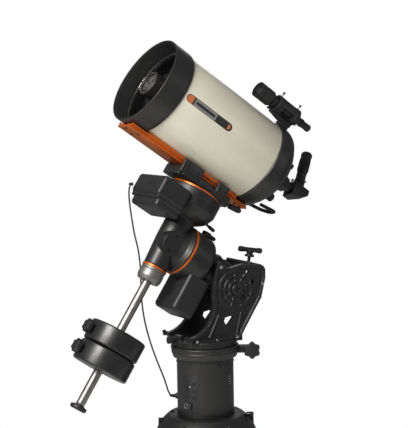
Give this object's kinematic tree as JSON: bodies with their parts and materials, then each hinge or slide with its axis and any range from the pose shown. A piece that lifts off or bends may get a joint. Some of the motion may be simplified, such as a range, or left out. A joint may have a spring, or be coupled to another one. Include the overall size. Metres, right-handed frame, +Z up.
{
  "type": "schmidt cassegrain telescope",
  "caption": "Schmidt-Cassegrain telescope with a finder and star diagonal, on a German equatorial mount, a round electronics pier and a folding tripod.",
  "frame": {"origin": "on the floor under the axis of the pier, which is the middle of the tripod", "axes": "+Z up along the pier; -X towards the celestial pole, the side that the tube and the front leg point to; +Y to the left of someone who looks along -X"},
  "size_m": [1.0721, 0.8966, 2.116],
  "materials": {
    "casting": "black powder coat on cast aluminium",
    "satin_black": "fine black texture paint on aluminium",
    "moulded": "black moulded plastic",
    "orange": "orange anodised",
    "cream": "cream gloss paint on aluminium tube",
    "stainless": "turned stainless steel",
    "silver": "silver-grey anodised",
    "iron": "black gloss paint on cast iron",
    "rubber": "black rubber",
    "glass": "coated optical glass",
    "mirror": "first-surface mirror",
    "cable": "grey cable jacket"
  },
  "bodies": {
    "tripod_head": {"tripod_hub": "casting", "pier_column": "satin_black"},
    "spreader": {"spreader": "casting"},
    "spreader_knob": {"spreader_knob": "moulded"},
    "power_switch": {"power_switch": "moulded"},
    "azimuth_knob": {"azimuth_knob": "moulded"},
    "fork": {"fork_mount": "casting", "altitude_axle": "stainless", "dec_cable_lower": "cable"},
    "fork_clamp_knob": {"fork_clamp_knob": "moulded"},
    "altitude_handle": {"altitude_handle": "casting"},
    "polar_head": {"ra_housing": "casting", "ra_ring": "orange", "ra_motor_cover": "moulded"},
    "ra_clutch": {"ra_clutch_knob": "moulded"},
    "declination_head": {"dec_housing": "casting", "ra_shaft": "stainless", "dec_motor_cover": "moulded", "dec_ring": "orange", "dec_top_ring": "orange", "dec_lock_nut": "silver", "counterweight_shaft": "stainless", "shaft_end_cap": "moulded", "dec_cable_upper": "cable"},
    "dec_clutch": {"dec_clutch_knob": "moulded"},
    "counterweight_upper": {"counterweight_upper": "iron"},
    "counterweight_lower": {"counterweight_lower": "iron"},
    "counterweight_knob_upper": {"counterweight_knob_upper": "moulded"},
    "counterweight_knob_lower": {"counterweight_knob_lower": "moulded"},
    "telescope": {"dec_axle": "stainless", "saddle": "casting", "dovetail_bar": "orange", "front_cell": "satin_black", "corrector_plate": "glass", "secondary_cell": "moulded", "optical_tube": "cream", "rear_cell": "satin_black", "baffle_tube": "moulded", "carry_handle": "moulded", "finder_bracket": "moulded", "finder_scope": "moulded", "visual_back": "moulded"},
    "saddle_jaw": {"saddle_jaw": "casting"},
    "saddle_knob": {"saddle_knob": "moulded"},
    "primary_mirror": {"primary_mirror": "mirror"},
    "focus_knob": {"focus_knob": "moulded"},
    "star_diagonal": {"star_diagonal": "moulded"},
    "eyepiece": {"eyepiece": "moulded"},
    "leg_1": {"leg_upper_1": "stainless"},
    "leg_extension_1": {"leg_lower_1": "stainless", "foot_1": "rubber"},
    "leg_lock_1": {"leg_lock_knob_1": "moulded"},
    "leg_2": {"leg_upper_2": "stainless"},
    "leg_extension_2": {"leg_lower_2": "stainless", "foot_2": "rubber"},
    "leg_lock_2": {"leg_lock_knob_2": "moulded"},
    "leg_3": {"leg_upper_3": "stainless"},
    "leg_extension_3": {"leg_lower_3": "stainless", "foot_3": "rubber"},
    "leg_lock_3": {"leg_lock_knob_3": "moulded"}
  },
  "joints": [
    {"name": "leg_fold_1", "type": "hinge", "parent": "tripod_head", "child": "leg_1", "pos_m": [-0.15, 0, 0.655], "axis": [0, -1, 0], "range_deg": [0, 12]},
    {"name": "leg_extend_1", "type": "slide", "parent": "leg_1", "child": "leg_extension_1", "axis": [-0.454, 0, -0.891], "range_m": [0, 0.25]},
    {"name": "leg_lock_turn_1", "type": "hinge", "parent": "leg_1", "child": "leg_lock_1", "pos_m": [-0.4369, 0, 0.21196], "axis": [-0.891, 0, 0.454], "range_deg": [0, 180]},
    {"name": "leg_fold_2", "type": "hinge", "parent": "tripod_head", "child": "leg_2", "pos_m": [0.075, -0.1299, 0.655], "axis": [0.866, 0.5, 0], "range_deg": [0, 12]},
    {"name": "leg_extend_2", "type": "slide", "parent": "leg_2", "child": "leg_extension_2", "axis": [0.227, -0.3932, -0.891], "range_m": [0, 0.25]},
    {"name": "leg_lock_turn_2", "type": "hinge", "parent": "leg_2", "child": "leg_lock_2", "pos_m": [0.21845, -0.37837, 0.21196], "axis": [0.4455, -0.7716, 0.454], "range_deg": [0, 180]},
    {"name": "leg_fold_3", "type": "hinge", "parent": "tripod_head", "child": "leg_3", "pos_m": [0.075, 0.1299, 0.655], "axis": [-0.866, 0.5, 0], "range_deg": [0, 12]},
    {"name": "leg_extend_3", "type": "slide", "parent": "leg_3", "child": "leg_extension_3", "axis": [0.227, 0.3932, -0.891], "range_m": [0, 0.25]},
    {"name": "leg_lock_turn_3", "type": "hinge", "parent": "leg_3", "child": "leg_lock_3", "pos_m": [0.21845, 0.37837, 0.21196], "axis": [0.4455, 0.7716, 0.454], "range_deg": [0, 180]},
    {"name": "spreader_slide", "type": "slide", "parent": "tripod_head", "child": "spreader", "axis": [0, 0, -1], "range_m": [0, 0.126]},
    {"name": "spreader_knob_turn", "type": "hinge", "parent": "spreader", "child": "spreader_knob", "pos_m": [0, 0, 0.4705], "axis": [0, 0, 1], "range_deg": [-720, 720]},
    {"name": "power_switch_rock", "type": "hinge", "parent": "tripod_head", "child": "power_switch", "pos_m": [-0.09445, -0.04812, 0.803], "axis": [0.454, -0.891, 0], "range_deg": [0, 8]},
    {"name": "azimuth_knob_turn", "type": "hinge", "parent": "tripod_head", "child": "azimuth_knob", "pos_m": [0.13942, -0.10162, 0.9947], "axis": [-0.524, -0.8517, 0], "range_deg": [-720, 720]},
    {"name": "azimuth", "type": "hinge", "parent": "tripod_head", "child": "fork", "pos_m": [0, 0, 0], "axis": [0, 0, 1], "range_deg": [-7, 7]},
    {"name": "fork_clamp_turn", "type": "hinge", "parent": "fork", "child": "fork_clamp_knob", "pos_m": [-0.1185, 0, 1.0447], "axis": [-1, 0, 0], "range_deg": [0, 360]},
    {"name": "altitude_handle_turn", "type": "hinge", "parent": "fork", "child": "altitude_handle", "pos_m": [0.196, 0, 1.3], "axis": [0.1736, 0, 0.9848], "range_deg": [-3600, 6120]},
    {"name": "altitude", "type": "hinge", "parent": "fork", "child": "polar_head", "pos_m": [0.08412, 0, 1.2196], "axis": [0, 1, 0], "range_deg": [-9, 14], "deforming": ["dec_cable_lower"]},
    {"name": "ra_clutch_turn", "type": "hinge", "parent": "polar_head", "child": "ra_clutch", "pos_m": [0.00971, 0, 1.40971], "axis": [0.5592, 0, 0.829], "range_deg": [0, 60]},
    {"name": "right_ascension", "type": "hinge", "parent": "polar_head", "child": "declination_head", "pos_m": [-0.144, 0, 1.4], "axis": [-0.829, 0, 0.5592], "range_deg": [-100, 100], "deforming": ["dec_cable_upper"]},
    {"name": "dec_clutch_turn", "type": "hinge", "parent": "declination_head", "child": "dec_clutch", "pos_m": [0.01036, -0.01, 1.45269], "axis": [0.766, 0, -0.6428], "range_deg": [0, 60]},
    {"name": "weight_slide_upper", "type": "slide", "parent": "declination_head", "child": "counterweight_upper", "axis": [0.5592, 0, 0.829], "range_m": [0, 0.14]},
    {"name": "weight_slide_lower", "type": "slide", "parent": "declination_head", "child": "counterweight_lower", "axis": [-0.5592, 0, -0.829], "range_m": [0, 0.13]},
    {"name": "weight_knob_turn_upper", "type": "hinge", "parent": "counterweight_upper", "child": "counterweight_knob_upper", "pos_m": [-0.45457, 0, 1.12555], "axis": [-0.829, 0, 0.5592], "range_deg": [0, 720]},
    {"name": "weight_knob_turn_lower", "type": "hinge", "parent": "counterweight_lower", "child": "counterweight_knob_lower", "pos_m": [-0.49796, 0, 1.06121], "axis": [-0.829, 0, 0.5592], "range_deg": [0, 720]},
    {"name": "declination", "type": "hinge", "parent": "declination_head", "child": "telescope", "pos_m": [-0.144, 0, 1.4], "axis": [0.5592, 0, 0.829], "continuous": true},
    {"name": "saddle_jaw_slide", "type": "slide", "parent": "telescope", "child": "saddle_jaw", "axis": [0, -1, 0], "range_m": [0, 0.006]},
    {"name": "saddle_knob_turn", "type": "hinge", "parent": "telescope", "child": "saddle_knob", "pos_m": [0.07873, -0.03, 1.52599], "axis": [0.8988, 0, -0.4384], "range_deg": [0, 720]},
    {"name": "mirror_focus", "type": "slide", "parent": "telescope", "child": "primary_mirror", "axis": [-0.829, 0, 0.5592], "range_m": [-0.006, 0.006]},
    {"name": "focus_knob_turn", "type": "hinge", "parent": "telescope", "child": "focus_knob", "pos_m": [0.26146, -0.022, 1.55351], "axis": [-0.829, 0, 0.5592], "range_deg": [-2160, 2160]},
    {"name": "diagonal_swivel", "type": "hinge", "parent": "telescope", "child": "star_diagonal", "pos_m": [0.38152, 0, 1.56662], "axis": [-0.829, 0, 0.5592], "range_deg": [-110, 150]},
    {"name": "eyepiece_slide", "type": "slide", "parent": "star_diagonal", "child": "eyepiece", "axis": [0.5255, 0.342, 0.779], "range_m": [0, 0.025]}
  ],
  "couplings": [
    {"joint": "leg_fold_2", "follows": "leg_fold_1", "ratio": 1},
    {"joint": "leg_fold_3", "follows": "leg_fold_1", "ratio": 1},
    {"joint": "spreader_slide", "follows": "leg_fold_1", "m_per_rad": 0.5986},
    {"joint": "azimuth_knob_turn", "follows": "azimuth", "ratio": 100},
    {"joint": "altitude_handle_turn", "follows": "altitude", "ratio": 360},
    {"joint": "saddle_knob_turn", "follows": "saddle_jaw_slide", "rad_per_m": 2092.3},
    {"joint": "focus_knob_turn", "follows": "mirror_focus", "rad_per_m": 6276.9}
  ]
}
